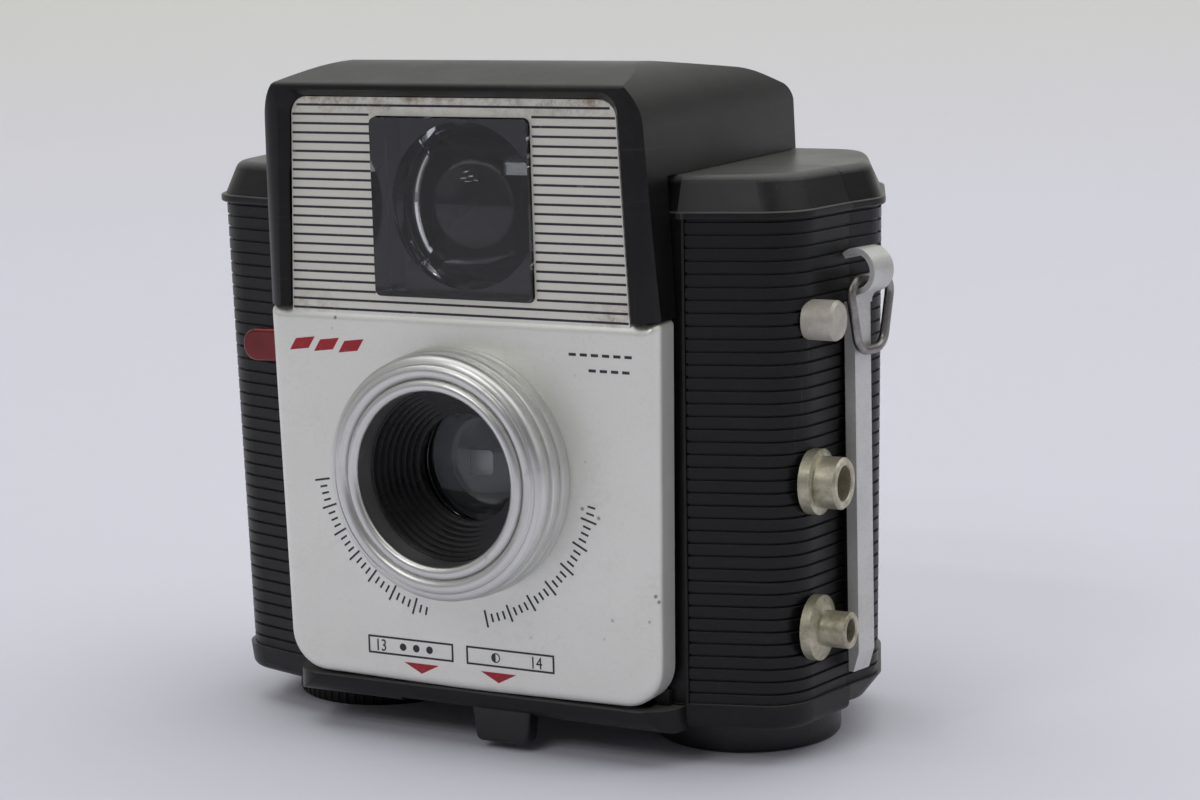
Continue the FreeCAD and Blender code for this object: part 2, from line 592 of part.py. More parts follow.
def winding_key():
    x = -SPOOL_X
    shaft = rod_z(2.4, x, SPOOL_Y, 3.4, 16.4)
    collar = rod_z(3.6, x, SPOOL_Y, 8.0, 9.2)
    blade = box(x - 4.0, x + 4.0, SPOOL_Y - 0.5, SPOOL_Y + 0.5, 14.9, 17.2)
    return fuse([shaft, collar, blade]).cut(rod_z(1.2, x, SPOOL_Y, 3.0, 5.0))


def winding_knob():
    """Knob with a knurled edge, a ring groove and a recess for its screw."""
    x = -SPOOL_X
    knob = rod_z(DISC_R, x, SPOOL_Y, 0.0, 4.9)
    knob = soften(knob, 0.5, lambda e: e.BoundBox.ZLength < 0.01)
    count = 60
    cutters = []
    for i in range(count):
        angle = 2 * pi * i / count
        cutters.append(rod_z(0.42, x + (DISC_R + 0.12) * cos(angle), SPOOL_Y + (DISC_R + 0.12) * sin(angle),
                             -1.0, 6.0))
    recess = rod_z(4.2, x, SPOOL_Y, -1.0, 1.6)
    groove = rod_z(10.0, x, SPOOL_Y, -1.0, 0.5).cut(rod_z(9.2, x, SPOOL_Y, -1.0, 0.5))
    bore = rod_z(2.4, x, SPOOL_Y, 3.4, 6.0)
    hole = rod_z(1.2, x, SPOOL_Y, 1.0, 4.0)
    return knob.cut(cutters + [recess, groove, bore, hole])


def foot_disc():
    foot = rod_z(DISC_R, SPOOL_X, SPOOL_Y, 0.0, BASE_Z)
    foot = soften(foot, 0.6, lambda e: e.BoundBox.ZMax < 0.01)
    return foot.cut([rod_z(4.2, SPOOL_X, SPOOL_Y, -1.0, 1.6), rod_z(1.5, SPOOL_X, SPOOL_Y, 1.0, 6.0)])


def screw_z(x, y, head_z, length, head_r, shank_r):
    """Slotted screw pointing up, its head at head_z."""
    head = rod_z(head_r, x, y, head_z, head_z + 0.9)
    shank = rod_z(shank_r, x, y, head_z + 0.8, head_z + length)
    slot = box(x - head_r, x + head_r, y - 0.25, y + 0.25, head_z - 0.1, head_z + 0.4)
    return head.fuse(shank).cut(slot)


# ---- fittings on the right side ----
def contact_upper():
    """Threaded flash socket with a flange."""
    start = WALL_X - 0.3
    return turned_x([(0.0, 35.6), (TAIL_R, 35.6), (TAIL_R, start), (4.5, start), (4.5, start + 1.6),
                     (3.95, start + 1.8), (3.55, start + 1.8), (3.55, 51.0), (3.3, 51.3), (2.55, 51.3),
                     (2.4, 51.1), (2.4, 47.5), (0.0, 47.5)], CONTACT_Y, CONTACT_Z[0])


def contact_lower():
    """Plain flash socket with a wider, coned flange."""
    start = WALL_X - 0.3
    return turned_x([(0.0, 35.6), (TAIL_R, 35.6), (TAIL_R, start), (4.5, start), (4.5, start + 1.4),
                     (3.2, start + 1.9), (2.5, start + 2.0), (2.5, 51.8), (2.35, 52.0), (1.75, 52.0),
                     (1.6, 51.8), (1.6, 47.5), (0.0, 47.5)], CONTACT_Y, CONTACT_Z[1])


def contact_nut(z):
    hexagon = Part.makePolygon([V(BOSS_X, CONTACT_Y + 2.4 * cos(i * pi / 3), z + 2.4 * sin(i * pi / 3))
                                for i in range(7)])
    nut = Part.Face(hexagon).extrude(V(-1.4, 0, 0))
    return nut.cut(rod_x(TAIL_R, CONTACT_Y, z, 30.0, 45.0))


def flash_stud():
    """Plain locating stud with a slightly domed end."""
    start = WALL_X - 0.3
    return turned_x([(0.0, 35.6), (TAIL_R, 35.6), (TAIL_R, start), (2.75, start), (2.75, 50.4), (2.45, 50.85),
                     (1.2, 51.05), (0.0, 51.1)], CONTACT_Y, STUD_Z)


# ---- latches and strap rings ----
CURL_CENTRE = (2.45, 67.4)
CURL_R = 2.75
STRIP = 0.8
STRIP_HALF = 1.8
CURL_HALF = 2.2
RING_W = 2.75
RING_Z = 66.3


def curl():
    """The strip's top: bent outwards and curled over into an eye for the ring."""
    cw, cz = CURL_CENTRE
    spine = [(1.5, 62.8), (1.65, 63.6), (2.2, 64.35)]
    for angle in range(-75, 136, 15):
        spine.append((cw + CURL_R * cos(radians(angle)), cz + CURL_R * sin(radians(angle))))
    left = []
    right = []
    for i, (w, z) in enumerate(spine):
        before = spine[max(i - 1, 0)]
        after = spine[min(i + 1, len(spine) - 1)]
        along = V(after[0] - before[0], 0, after[1] - before[1]).normalize() * (STRIP / 2)
        left.append(V(w - along.z, -CURL_HALF, z + along.x))
        right.append(V(w + along.z, -CURL_HALF, z - along.x))
    inner = Part.BSplineCurve()
    inner.interpolate(left)
    outer = Part.BSplineCurve()
    outer.interpolate(right)
    wire = Part.Wire([inner.toShape(), Part.makeLine(left[-1], right[-1]), outer.toShape(),
                      Part.makeLine(right[0], left[0])])
    return Part.Face(wire).extrude(V(0, 2 * CURL_HALF, 0))


def strip():
    """Pressed channel that holds the seam closed; its rear leg has a notch for each hook."""
    web = prism_y([(1.1, 63.0, 0), (1.9, 63.0, 0), (1.9, 14.2, 0), (0.95, 11.3, 0), (0.15, 11.3, 0),
                   (1.1, 14.3, 0)], -STRIP_HALF, STRIP_HALF)
    leg = prism_y([(0.15, 63.0, 0), (1.9, 63.0, 0), (1.9, 14.2, 0), (0.95, 11.3, 0), (0.15, 11.3, 0)],
                  -STRIP_HALF, -STRIP_HALF + 0.5)
    rear_leg = leg.copy()
    rear_leg.translate(V(0, 2 * STRIP_HALF - 0.5, 0))
    notches = [box(-1.0, 1.05, 1.0, 3.0, z - 0.4, z + 11.4) for z in HOOK_Z]
    return [web, leg, rear_leg.cut(notches)]


def latch_right():
    return latch_place(fuse(strip() + [curl()]))


def latch_left():
    return mirror_x(latch_place(fuse(strip())))


def strap_ring():
    """Oval wire ring, narrower below, that hangs in the eye of the strip."""
    shift = 0.7
    low = RING_Z - 9.9
    wire = outline([(shift - 4.9, RING_Z, 2.2), (shift + 4.9, RING_Z, 2.2), (shift + 2.7, low, 2.4),
                    (shift - 2.7, low, 2.4)], lambda u, v: V(RING_W, u, v))
    start = wire.Edges[0].valueAt(wire.Edges[0].FirstParameter)
    tangent = wire.Edges[0].tangentAt(wire.Edges[0].FirstParameter)
    section = Part.Wire([Part.makeCircle(0.65, start, tangent)])
    ring = wire.makePipeShell([section], True, False)
    return latch_place(ring)


# ---- rear cover's fittings ----
def red_window():
    return rod_y(5.9, 0, LENS_Z, BACK_Y - 0.2, BACK_Y + 0.2)


def window_ring():
    return turned_y([(3.6, BACK_Y + 0.25), (5.95, BACK_Y + 0.25), (5.95, BACK_Y + 0.6), (6.8, BACK_Y + 0.6),
                     (6.8, REAR_Y), (3.6, REAR_Y)])


def pressure_plate():
    plate = prism_y([(-22.0, LENS_Z - 23.5, 2.0), (22.0, LENS_Z - 23.5, 2.0),
                     (22.0, LENS_Z + 23.5, 2.0), (-22.0, LENS_Z + 23.5, 2.0)], 45.6, 46.1)
    return plate.cut(rod_y(4.0, 0, LENS_Z, 45.0, 47.0))


def pressure_spring():
    """Bowed leaf between the rear wall and the pressure plate."""
    leaves = []
    for z in (LENS_Z - 15.0, LENS_Z + 15.0):
        leaf = prism_z([(-14.0, 46.1, 0), (-10.0, 46.1, 0), (0.0, 47.9, 12.0), (10.0, 46.1, 0), (14.0, 46.1, 0),
                        (14.0, 46.4, 0), (10.4, 46.4, 0), (0.0, 48.3, 12.0), (-10.4, 46.4, 0),
                        (-14.0, 46.4, 0)], z - 2.5, z + 2.5)
        leaves.append(leaf)
    return Part.makeCompound(leaves)


def main():
    os.makedirs("parts", exist_ok=True)
    save("front_body", front_body())
    save("hood", hood())
    save("face_plate", face_plate())
    save("lens_bezel", lens_bezel())
    save("lens_baffle", lens_baffle())
    save("taking_lens", taking_lens())
    save("lens_retainer", lens_retainer())
    save("finder_front_lens", finder_front_lens())
    save("finder_tunnel", finder_tunnel())
    save("eyepiece_frame", eyepiece_frame())
    save("eyepiece_lens", eyepiece_lens())
    save("shutter_plate", shutter_plate())
    save("shutter_pivot", pivot(SHUTTER_PIVOT, 1.2, 7.6, 9.5, 9.1))
    save("trigger_pivot", pivot(TRIGGER_PIVOT, 1.4, 2.95, 6.9, 2.95))
    save("trigger_spring", trigger_spring())
    save("shutter_disc", shutter_disc())
    save("aperture_lever", aperture_lever())
    save("aperture_blade", aperture_blade())
    save("trigger_lever", trigger_lever())
    save("film_carrier", film_carrier())
    save("take_up_spool", spool(-SPOOL_X, True))
    save("supply_spool", spool(SPOOL_X, False))
    save("roller_left", roller(-26.4))
    save("roller_right", roller(26.4))
    save("winding_key", winding_key())
    save("winding_knob", winding_knob())
    save("knob_screw", screw_z(-SPOOL_X, SPOOL_Y, 0.7, 4.0, 2.6, 1.2))
    save("foot_disc", foot_disc())
    save("carrier_screws", Part.makeCompound([screw_z(x, y, BASE_Z, 6.5, 2.0, 1.1) for x, y in CARRIER_FEET]))
    save("foot_screw", screw_z(SPOOL_X, SPOOL_Y, 0.7, 7.6, 2.6, 1.5))
    save("contact_upper", contact_upper())
    save("contact_lower", contact_lower())
    save("contact_nuts", Part.makeCompound([contact_nut(z) for z in CONTACT_Z + (STUD_Z,)]))
    save("flash_stud", flash_stud())
    save("latch_right", latch_right())
    save("latch_left", latch_left())
    save("strap_ring", strap_ring())
    save("rear_cover", rear_cover())
    save("red_window", red_window())
    save("window_ring", window_ring())
    save("pressure_plate", pressure_plate())
    save("pressure_spring", pressure_spring())


main()
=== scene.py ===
import bpy
import bmesh
import math
from mathutils import Matrix, Vector


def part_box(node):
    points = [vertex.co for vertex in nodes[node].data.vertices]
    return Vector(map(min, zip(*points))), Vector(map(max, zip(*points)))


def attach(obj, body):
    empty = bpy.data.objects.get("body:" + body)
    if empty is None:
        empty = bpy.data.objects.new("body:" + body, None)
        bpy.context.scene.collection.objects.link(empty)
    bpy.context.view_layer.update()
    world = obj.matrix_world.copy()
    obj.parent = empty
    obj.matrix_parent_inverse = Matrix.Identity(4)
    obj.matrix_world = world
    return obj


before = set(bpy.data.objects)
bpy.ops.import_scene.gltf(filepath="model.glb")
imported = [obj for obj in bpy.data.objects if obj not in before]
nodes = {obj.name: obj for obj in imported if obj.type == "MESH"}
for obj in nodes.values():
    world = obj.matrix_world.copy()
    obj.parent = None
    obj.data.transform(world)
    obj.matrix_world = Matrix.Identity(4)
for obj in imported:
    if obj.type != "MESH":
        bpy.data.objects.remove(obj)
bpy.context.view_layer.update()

MM = 0.001
lens_low, lens_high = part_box("lens_bezel")
AXIS_X = (lens_low[0] + lens_high[0]) / 2       # the lens axis; the marks are placed from it
AXIS_Z = (lens_low[2] + lens_high[2]) / 2
PANEL_FOOT = 61.3 * MM                          # where the striped panel meets the lower pan
PANEL_TOP = 91.5 * MM


# ---- node helpers ----
class Shader:
    """A material's node tree, with short calls for the nodes used here."""

    def __init__(self, name):
        self.material = bpy.data.materials.new(name)
        self.material.use_nodes = True
        self.tree = self.material.node_tree
        self.surface = self.tree.nodes["Principled BSDF"]
        self.place = self.tree.nodes.new("ShaderNodeTexCoord").outputs["Object"]

    def link(self, source, target):
        self.tree.links.new(source, target)

    def fill(self, socket, value):
        """Links a node's output to the socket, or sets a constant on it."""
        if isinstance(value, bpy.types.NodeSocket):
            self.link(value, socket)
        else:
            socket.default_value = value

    def stretched(self, scale, turn=(0.0, 0.0, 0.0)):
        """The object's coordinates, turned and scaled, so that a noise becomes streaks."""
        mapping = self.tree.nodes.new("ShaderNodeMapping")
        self.link(self.place, mapping.inputs["Vector"])
        mapping.inputs["Scale"].default_value = scale
        mapping.inputs["Rotation"].default_value = turn
        return mapping.outputs["Vector"]

    def noise(self, scale, detail=4.0, roughness=0.55, place=None):
        noise = self.tree.nodes.new("ShaderNodeTexNoise")
        self.link(place or self.place, noise.inputs["Vector"])
        noise.inputs["Scale"].default_value = scale
        noise.inputs["Detail"].default_value = detail
        noise.inputs["Roughness"].default_value = roughness
        return noise.outputs["Fac"]

    def specks(self, scale, size):
        """1 inside small round specks, 0 elsewhere."""
        cells = self.tree.nodes.new("ShaderNodeTexVoronoi")
        self.link(self.place, cells.inputs["Vector"])
        cells.inputs["Scale"].default_value = scale
        return self.span(cells.outputs["Distance"], size, size * 0.5)

    def span(self, value, low, high, out_low=0.0, out_high=1.0):
        """Maps value from low..high to out_low..out_high, held at both ends."""
        spread = self.tree.nodes.new("ShaderNodeMapRange")
        spread.clamp = True
        self.fill(spread.inputs["Value"], value)
        spread.inputs["From Min"].default_value = low
        spread.inputs["From Max"].default_value = high
        spread.inputs["To Min"].default_value = out_low
        spread.inputs["To Max"].default_value = out_high
        return spread.outputs["Result"]

    def maths(self, operation, first, second=0.0):
        maths = self.tree.nodes.new("ShaderNodeMath")
        maths.operation = operation
        self.fill(maths.inputs[0], first)
        self.fill(maths.inputs[1], second)
        return maths.outputs[0]

    def times(self, first, second):
        return self.maths("MULTIPLY", first, second)

    def blend(self, amount, first, second):
        """The first colour, with the given amount of the second."""
        mixer = self.tree.nodes.new("ShaderNodeMix")
        mixer.data_type = "RGBA"
        self.fill(mixer.inputs["Factor"], amount)
        sockets = [socket for socket in mixer.inputs if socket.type == "RGBA"]
        for socket, colour in zip(sockets, (first, second)):
            linked = isinstance(colour, bpy.types.NodeSocket)
            self.fill(socket, colour if linked else (*colour, 1.0))
        return [socket for socket in mixer.outputs if socket.type == "RGBA"][0]

    def axis(self, letter):
        """One of the object's coordinates, in metres."""
        split = self.tree.nodes.new("ShaderNodeSeparateXYZ")
        self.link(self.place, split.inputs[0])
        return split.outputs[letter]

    def facing(self, letter):
        """The surface normal's share along one axis."""
        geometry = self.tree.nodes.new("ShaderNodeNewGeometry")
        split = self.tree.nodes.new("ShaderNodeSeparateXYZ")
        self.link(geometry.outputs["Normal"], split.inputs[0])
        return split.outputs[letter]

    def bump(self, height, strength, distance):
        bump = self.tree.nodes.new("ShaderNodeBump")
        bump.inputs["Strength"].default_value = strength
        bump.inputs["Distance"].default_value = distance
        self.link(height, bump.inputs["Height"])
        self.link(bump.outputs["Normal"], self.surface.inputs["Normal"])

    def finish(self, **values):
        """Sets or links the surface's sockets; an underscore in a name stands for a space."""
        for name, value in values.items():
            self.fill(self.surface.inputs[name.replace("_", " ")], value)
        return self.material


def linear(value):
    return value / 12.92 if value <= 0.04045 else ((value + 0.055) / 1.055) ** 2.4


def rgb(red, green, blue):
    """A colour given as it looks on screen, turned into linear light."""
    return linear(red), linear(green), linear(blue)


# ---- materials ----
def moulded_black(name, dark, light, dust_amount, rough, painted_top_sheen=0.50):
    """Black moulding: dustier where it faces up, with a painted sheen that makes up-facing faces paler,
    with hair scratches and level streaks.
    """
    s = Shader(name)
    cloud = s.noise(45.0, 5.0, 0.6)
    colour = s.blend(s.span(cloud, 0.35, 0.65), rgb(*dark), rgb(*light))
    up = s.facing("Z")

    patches = s.span(s.noise(70.0, 6.0, 0.65), 0.47, 0.72)
    grit = s.span(s.noise(900.0, 3.0, 0.7), 0.35, 0.75)
    dust = s.times(s.times(patches, grit), s.span(up, 0.1, 0.95, 0.30, 1.0))
    dust = s.times(dust, dust_amount)
    colour = s.blend(dust, colour, rgb(0.42, 0.40, 0.36))
    # painted sheen: faces turned up are lightened toward grey, standing in for the light from above
    colour = s.blend(s.span(up, 0.30, 0.95, 0.0, painted_top_sheen), colour, rgb(0.35, 0.35, 0.34))

    hair = s.noise(1.0, 3.0, 0.5, s.stretched((1500.0, 1500.0, 40.0), (0.3, 0.5, 0.0)))
    scratch = s.span(hair, 0.70, 0.76)
    colour = s.blend(s.times(scratch, 0.45), colour, rgb(0.30, 0.30, 0.30))
    streak = s.noise(1.0, 3.0, 0.6, s.stretched((60.0, 60.0, 1800.0)))
    colour = s.blend(s.span(streak, 0.62, 0.72, 0.0, 0.16), colour, rgb(0.26, 0.26, 0.27))

    cloudy = s.span(cloud, 0.3, 0.7, rough - 0.06, rough + 0.08)
    roughness = s.maths("ADD", cloudy, s.times(dust, 0.4))
    s.bump(s.noise(1400.0, 2.0, 0.6), 0.12, 0.04 * MM)
    return s.finish(Base_Color=colour, Roughness=roughness, IOR=1.38)


def panel_rust(s):
    """Where rust gathers on the striped panel: its lower corners and its top edge."""
    z = s.axis("Z")
    low_band = s.times(
        s.span(z, PANEL_FOOT + 4.2 * MM, PANEL_FOOT + 1.2 * MM),
        s.span(z, PANEL_FOOT - 0.1 * MM, PANEL_FOOT + 0.7 * MM),
    )
    across = s.maths("SUBTRACT", s.axis("X"), AXIS_X)
    right = s.span(across, 17.0 * MM, 26.2 * MM)
    left = s.span(across, -12.0 * MM, -24.5 * MM)
    corners = s.times(low_band, s.maths("MAXIMUM", right, s.times(left, 0.6)))
    top = s.span(z, PANEL_TOP - 3.0 * MM, PANEL_TOP)
    return s.maths("MAXIMUM", corners, top)


def silver_enamel(name, base, tone, rust_amount):
    """The face plate: brushed silver, creamier on the striped panel, with specks, grime and rust."""
    s = Shader(name)
    colour = s.blend(s.span(s.noise(60.0, 4.0, 0.5), 0.3, 0.7), rgb(*base), rgb(*tone))
    fine = s.noise(2600.0, 2.0, 0.7)
    colour = s.blend(s.span(fine, 0.56, 0.72, 0.0, 0.07), colour, rgb(0.52, 0.50, 0.47))
    few = s.times(s.specks(366.0, 0.13), s.span(s.noise(120.0, 2.0), 0.58, 0.66))
    colour = s.blend(s.times(few, 0.7), colour, rgb(0.30, 0.25, 0.20))

    grime_patches = s.span(s.noise(110.0, 8.0, 0.7), 0.52, 0.74)
    grime = s.times(grime_patches, s.span(s.noise(1500.0, 2.0), 0.4, 0.65))
    colour = s.blend(s.times(grime, 0.12), colour, rgb(0.56, 0.52, 0.42))
    cream = s.span(s.axis("Z"), PANEL_FOOT, PANEL_FOOT + 1.7 * MM, 0.0, 0.45)
    colour = s.blend(cream, colour, rgb(0.86, 0.845, 0.77))
    stain = s.times(panel_rust(s), s.span(s.noise(330.0, 7.0, 0.75), 0.45, 0.66))
    colour = s.blend(s.times(stain, rust_amount), colour, rgb(0.52, 0.38, 0.17))

    brushed = s.noise(1.0, 3.0, 0.6, s.stretched((60.0, 3000.0, 4000.0)))
    s.bump(brushed, 0.08, 0.02 * MM)
    roughness = s.span(brushed, 0.3, 0.7, 0.38, 0.50)
    return s.finish(Base_Color=colour, Metallic=0.65, Roughness=roughness)


def bright_aluminium(name, tone):
    """Aluminium turned about the lens axis, so that its fine lines run round it."""
    s = Shader(name)
    x = s.maths("SUBTRACT", s.axis("X"), AXIS_X)
    z = s.maths("SUBTRACT", s.axis("Z"), AXIS_Z)
    angle = s.maths("ARCTAN2", z, x)
    radius = s.maths("SQRT", s.maths("ADD", s.times(x, x), s.times(z, z)))
    round_axis = s.tree.nodes.new("ShaderNodeCombineXYZ")
    s.link(s.times(angle, 0.6), round_axis.inputs["X"])
    s.link(s.times(radius, 9000.0), round_axis.inputs["Y"])
    s.link(s.times(s.axis("Y"), 7000.0), round_axis.inputs["Z"])
    turned = s.noise(1.0, 3.0, 0.6, round_axis.outputs[0])

    lighter = [channel + 0.07 for channel in tone]
    colour = s.blend(s.span(turned, 0.35, 0.65), rgb(*tone), rgb(*lighter))
    pits = s.times(s.span(s.noise(240.0, 8.0, 0.75), 0.58, 0.74), 0.30)
    colour = s.blend(pits, colour, rgb(0.33, 0.30, 0.27))
    cloudy = s.span(s.noise(150.0, 4.0), 0.3, 0.7, 0.30, 0.42)
    s.bump(turned, 0.02, 0.01 * MM)
    return s.finish(Base_Color=colour, Metallic=1.0, Roughness=s.maths("ADD", cloudy, s.times(pits, 0.4)))


def plain_metal(name, tone, stain, stain_amount, rough, metallic=1.0, scale=300.0, grain=0.25):
    """Stained metal or metal paint; grain sets both its fine specks and its bumps."""
    s = Shader(name)
    cloud = s.noise(scale, 6.0, 0.7)
    stained = s.times(s.span(cloud, 0.40, 0.68), stain_amount)
    colour = s.blend(stained, rgb(*tone), rgb(*stain))
    fine = s.noise(3500.0, 2.0, 0.6)
    colour = s.blend(s.span(fine, 0.5, 0.75, 0.0, grain), colour, rgb(*stain))
    s.bump(s.noise(1200.0, 2.0, 0.5), 0.2 * grain, 0.03 * MM)
    roughness = s.span(cloud, 0.3, 0.7, rough - 0.06, rough + 0.14)
    return s.finish(Base_Color=colour, Metallic=metallic, Roughness=roughness)


def glossy(name, tone, edge, rough):
    """Shiny moulded plastic with a little grit in its surface."""
    s = Shader(name)
    cloud = s.noise(180.0, 5.0, 0.6)
    colour = s.blend(s.span(cloud, 0.35, 0.7), rgb(*tone), rgb(*edge))
    grit = s.times(s.span(s.noise(1500.0, 3.0, 0.7), 0.58, 0.75), 0.25)
    colour = s.blend(grit, colour, rgb(0.25, 0.22, 0.2))
    s.bump(s.noise(700.0, 3.0), 0.06, 0.04 * MM)
    roughness = s.span(cloud, 0.3, 0.7, rough - 0.05, rough + 0.08)
    return s.finish(Base_Color=colour, Roughness=roughness, IOR=1.5)


def ink(name, tone, wear_tone, wear):
    """Printing that has worn thin in places."""
    s = Shader(name)
    worn = s.span(s.noise(900.0, 4.0, 0.7), 0.60, 0.72, 0.0, wear)
    colour = s.blend(worn, rgb(*tone), rgb(*wear_tone))
    s.bump(s.noise(2500.0, 2.0), 0.05, 0.02 * MM)
    return s.finish(Base_Color=colour, Roughness=s.span(worn, 0.0, 1.0, 0.42, 0.6))


def clear_glass(name, tint, rough, gloss=0.5):
    """Clear or tinted plastic glass, faintly smeared."""
    s = Shader(name)
    smear = s.span(s.noise(160.0, 5.0, 0.6), 0.45, 0.8, rough, rough + 0.05)
    s.bump(s.noise(300.0, 1.0), 0.002, 0.01 * MM)
    s.surface.inputs["Specular IOR Level"].default_value = gloss
    return s.finish(Base_Color=(*tint, 1.0), Transmission_Weight=1.0, Roughness=smear, IOR=1.49)


mat = {
    "body": moulded_black(
        "black_moulding", (0.035, 0.036, 0.040), (0.060, 0.060, 0.063), 0.20, 0.34, 0.85),
    "hood": moulded_black(
        "hood_moulding", (0.040, 0.041, 0.045), (0.065, 0.065, 0.068), 0.26, 0.33, 0.34),
    "inner": moulded_black(
        "inner_moulding", (0.02, 0.02, 0.022), (0.04, 0.04, 0.04), 0.03, 0.5),
    # painted reflection: the baffle is coloured dark grey, lighter than its black plastic, standing in for
    # the light its stepped rings catch
    "baffle": moulded_black(
        "baffle_black", (0.10, 0.10, 0.105), (0.16, 0.16, 0.165), 0.25, 0.24),
    "plate": silver_enamel(
        "silver_plate", (0.955, 0.955, 0.93), (0.935, 0.935, 0.91), 0.8),
    "bezel": bright_aluminium(
        "turned_aluminium", (0.82, 0.82, 0.81)),
    "steel": plain_metal(
        "dull_steel", (0.62, 0.61, 0.60), (0.30, 0.27, 0.24), 0.5, 0.32),
    "contact": plain_metal(
        "worn_nickel", (0.78, 0.76, 0.68), (0.44, 0.41, 0.31), 0.75, 0.38, 0.7),
    "stud": plain_metal(
        "stud_grey", (0.76, 0.74, 0.70), (0.58, 0.55, 0.50), 0.5, 0.45, 0.35),
    "strip": plain_metal(
        "strip_silver", (0.84, 0.84, 0.83), (0.55, 0.54, 0.51), 0.22, 0.36, 0.4, 160.0),
    "red": glossy(
        "red_moulding", (0.50, 0.04, 0.05), (0.38, 0.03, 0.04), 0.20),
    "black_gloss": glossy(
        "black_gloss", (0.07, 0.07, 0.075), (0.11, 0.11, 0.115), 0.30),
    "dark_metal": plain_metal(
        "black_metal", (0.12, 0.12, 0.12), (0.06, 0.06, 0.06), 0.6, 0.4, 0.6, 300.0, 0.04),
    "shutter": plain_metal(
        "shutter_steel", (0.80, 0.80, 0.80), (0.70, 0.70, 0.70), 0.3, 0.5, 0.3, 120.0, 0.02),
    "ink": ink(
        "dark_ink", (0.17, 0.15, 0.19), (0.58, 0.55, 0.50), 0.5),
    "red_ink": ink(
        "red_ink", (0.66, 0.10, 0.15), (0.75, 0.5, 0.5), 0.35),
    "lens": clear_glass(
        "lens_glass", (0.92, 0.95, 0.98), 0.01),
    "eyepiece": clear_glass(
        "eyepiece_glass", (0.36, 0.37, 0.40), 0.06),
    # painted shade: the finder glass is tinted grey so that the finder's inside looks shaded through it
    "block": clear_glass(
        "finder_glass", (0.66, 0.67, 0.70), 0.015, 0.2),
    "window": clear_glass(
        "red_window", (0.55, 0.02, 0.02), 0.03),
}

# which nodes each material goes on
coated = {
    "body": ("front_body", "rear_cover", "winding_knob"),
    "hood": ("hood",),
    "inner": ("finder_tunnel", "film_carrier", "take_up_spool", "supply_spool"),
    "baffle": ("lens_baffle",),
    "plate": ("face_plate",),
    "bezel": ("lens_bezel", "eyepiece_frame", "window_ring"),
    "steel": ("shutter_pivot", "trigger_pivot", "trigger_spring", "roller_left", "roller_right",
              "winding_key", "knob_screw", "foot_screw", "carrier_screws", "strap_ring",
              "pressure_spring"),
    "contact": ("contact_upper", "contact_lower", "contact_nuts"),
    "stud": ("flash_stud",),
    "strip": ("latch_right", "latch_left"),
    "red": ("trigger_lever",),
    "black_gloss": ("aperture_lever", "foot_disc"),
    "dark_metal": ("lens_retainer", "shutter_plate", "aperture_blade", "pressure_plate"),
    "shutter": ("shutter_disc",),
    "lens": ("taking_lens",),
    "eyepiece": ("eyepiece_lens",),
    "block": ("finder_front_lens",),
    "window": ("red_window",),
}
look = {name: material for material, names in coated.items() for name in names}
for name, obj in nodes.items():
    for material_slot in obj.material_slots:
        material_slot.material = mat[look[name]]


# ---- geometry helpers ----
def add_piece(name, mesh, body, material):
    obj = bpy.data.objects.new(name, mesh)
    bpy.context.scene.collection.objects.link(obj)
    mesh.materials.append(mat[material])
    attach(obj, body)
    return obj


def raised(bm, outline, back, front, shrink):
    """A thin raised patch: outline in X and Z, from Y = back to Y = front, its front edge drawn in."""
    centre = Vector((sum(p[0] for p in outline), sum(p[1] for p in outline))) / len(outline)
    rings = []
    for y, inset in ((back, 0.0), (front + shrink, 0.0), (front, shrink)):
        ring = []
        for x, z in outline:
            offset = Vector((x, z)) - centre
            if inset:
                offset -= offset.normalized() * inset
            ring.append(bm.verts.new((centre.x + offset.x, y, centre.y + offset.y)))
        rings.append(ring)
    count = len(outline)
    for lower, upper in zip(rings, rings[1:]):
        for i in range(count):
            following = (i + 1) % count
            bm.faces.new((lower[i], lower[following], upper[following], upper[i]))
    bm.faces.new(rings[-1])
    bm.faces.new(list(reversed(rings[0])))


def finish_mesh(bm, name):
    """The marks' mesh, moved from the lens axis to where that axis is."""
    bmesh.ops.recalc_face_normals(bm, faces=bm.faces)
    bmesh.ops.translate(bm, vec=(AXIS_X, 0.0, 0.0), verts=bm.verts)
    mesh = bpy.data.meshes.new(name)
    bm.to_mesh(mesh)
    bm.free()
    return mesh


# ---- the face plate's marks, in millimetres: X from the lens axis, Z from the table ----
plate_low, plate_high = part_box("face_plate")
FACE = plate_low[1]                 # the lower pan's front, in metres
PANEL = FACE + 0.3 * MM             # the striped panel's front, in metres
PROUD = 0.05 * MM                   # how far the marks stand out
SUNK = 0.02 * MM                    # how far their backs are inside the plate
EDGE = 0.03 * MM                    # how far a mark's front edge is drawn in
THIN_EDGE = 0.005 * MM              # the same for the moon's thin outline
ART_X = -1.2                        # the printing sits a little to the left of the lens axis
BOX_LOW = 12.75                     # the two framed boxes below the lens
BOX_HIGH = 15.4
SYMBOL_Z = 14.08                    # the middle of what is in the boxes
DIGIT_Z = 13.22                     # the numbers' foot
DIGIT_TALL = 1.7


def mark(bm, outline, face=FACE, shrink=EDGE):
    raised(bm, [(x * MM, z * MM) for x, z in outline], face + SUNK, face - PROUD, shrink)


def bar(bm, x0, x1, z0, z1, face=FACE):
    mark(bm, [(x0, z0), (x1, z0), (x1, z1), (x0, z1)], face)


def round_points(x, z, radius, start, step, count):
    """Points on a circle about (x, z), from the angle start."""
    angles = [start + i * step for i in range(count)]
    return [(x + radius * math.cos(a), z + radius * math.sin(a)) for a in angles]


def add_marks(name, draw, material):
    bm = bmesh.new()
    draw(bm)
    add_piece(name, finish_mesh(bm, name), "camera", material)


